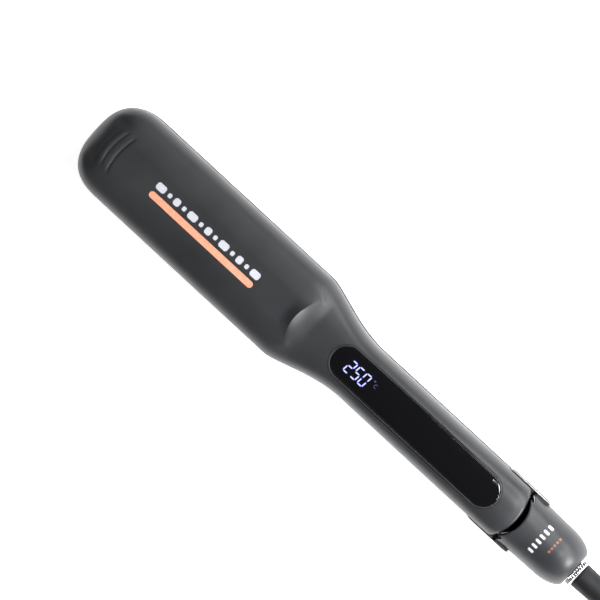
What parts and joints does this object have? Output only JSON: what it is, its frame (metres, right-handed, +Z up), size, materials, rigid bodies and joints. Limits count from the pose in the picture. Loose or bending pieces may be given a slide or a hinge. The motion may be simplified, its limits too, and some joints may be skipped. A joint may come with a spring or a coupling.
{
  "type": "flat iron",
  "caption": "Wide-paddle hair straightener with hinged arms, floating plates, display window in the handle, swivel cord guard and tied mains cord.",
  "frame": {"origin": "centre of the iron's footprint, without its cord, on the surface that the lower arm lies on", "axes": "+X from the tip towards the cord, +Z up through the upper arm with the display, +Y to the left seen from the tip towards the cord"},
  "size_m": [0.5707, 0.0644, 0.04],
  "materials": {
    "graphite_shell": "satin soft-touch graphite",
    "black_plastic": "fine satin black",
    "gloss_window": "polished black window",
    "bezel": "satin silver",
    "chrome": "bright chrome",
    "steel": "brushed",
    "brass": "bright",
    "titanium_plate": "titanium coated, fine satin",
    "ceramic": "fired ceramic",
    "aluminium": "bare",
    "silicone": "matte silicone",
    "mica": "mica board",
    "salmon": "printed satin salmon",
    "board_green": "solder mask",
    "rubber": "matte black rubber",
    "cord": "matte black cord jacket"
  },
  "bodies": {
    "root": {"lower_shell": "graphite_shell", "lower_inner_cover": "black_plastic", "lower_tip_liner": "black_plastic", "lower_heat_shield": "mica", "lower_cushion_front": "silicone", "lower_cushion_rear": "silicone", "lower_screw_left": "steel", "lower_screw_right": "steel", "lower_heater_lead": "silicone", "thermal_fuse": "ceramic", "hinge_pin": "steel", "hinge_spring": "steel", "hinge_cap_left": "black_plastic", "hinge_cap_right": "black_plastic", "hinge_rim_left": "chrome", "hinge_rim_right": "chrome", "tail_housing": "graphite_shell", "contact_plate": "board_green", "contact_finger_live": "brass", "contact_finger_neutral": "brass", "cord_lead": "cord", "cord_hank": "cord", "hank_tie": "rubber", "plug_body": "rubber", "plug_pin_left": "brass", "plug_pin_right": "brass"},
    "upper_arm": {"upper_shell": "graphite_shell", "upper_inner_cover": "black_plastic", "upper_tip_liner": "black_plastic", "upper_heat_shield": "mica", "upper_cushion_front": "silicone", "upper_cushion_rear": "silicone", "upper_screw_left": "steel", "upper_screw_right": "steel", "upper_heater_lead": "silicone", "display_window": "gloss_window", "display_bezel": "bezel", "display_module": "black_plastic", "control_board": "board_green", "key_pad": "silicone", "accent_bar": "salmon", "hinge_bush_left": "brass", "hinge_bush_right": "brass"},
    "upper_plate_carriage": {"upper_plate": "titanium_plate", "upper_heater": "ceramic", "upper_heater_clip": "aluminium", "upper_thermistor": "ceramic"},
    "lower_plate_carriage": {"lower_plate": "titanium_plate", "lower_heater": "ceramic", "lower_heater_clip": "aluminium", "lower_thermistor": "ceramic"},
    "key_minus_body": {"key_minus": "black_plastic"},
    "key_plus_body": {"key_plus": "black_plastic"},
    "key_power_body": {"key_power": "black_plastic"},
    "swivel": {"swivel_stem": "black_plastic", "swivel_ring": "chrome", "cord_guard": "rubber", "slip_ring_inner": "brass", "slip_ring_outer": "brass"}
  },
  "joints": [
    {"name": "arm_hinge", "type": "hinge", "parent": "root", "child": "upper_arm", "pos_m": [0.0777, 0, 0.0188], "axis": [0, 1, 0], "range_deg": [0, 15]},
    {"name": "upper_plate_float", "type": "slide", "parent": "upper_arm", "child": "upper_plate_carriage", "axis": [0, 0, 1], "range_m": [0, 0.001], "stiffness_N_per_m": 2000, "springref_m": -0.001, "deforming": ["upper_cushion_front", "upper_cushion_rear"]},
    {"name": "lower_plate_float", "type": "slide", "parent": "root", "child": "lower_plate_carriage", "axis": [0, 0, -1], "range_m": [0, 0.001], "stiffness_N_per_m": 2000, "springref_m": -0.001, "deforming": ["lower_cushion_front", "lower_cushion_rear"]},
    {"name": "key_minus_press", "type": "slide", "parent": "upper_arm", "child": "key_minus_body", "axis": [0, 0, 1], "range_m": [0, 0.0008], "stiffness_N_per_m": 800, "springref_m": -0.0005},
    {"name": "key_plus_press", "type": "slide", "parent": "upper_arm", "child": "key_plus_body", "axis": [0, 0, 1], "range_m": [0, 0.0008], "stiffness_N_per_m": 800, "springref_m": -0.0005},
    {"name": "key_power_press", "type": "slide", "parent": "upper_arm", "child": "key_power_body", "axis": [0, 0, 1], "range_m": [0, 0.0008], "stiffness_N_per_m": 800, "springref_m": -0.0005},
    {"name": "cord_swivel", "type": "hinge", "parent": "root", "child": "swivel", "pos_m": [0.1181, 0, 0.0188], "axis": [1, 0, 0], "continuous": true}
  ]
}
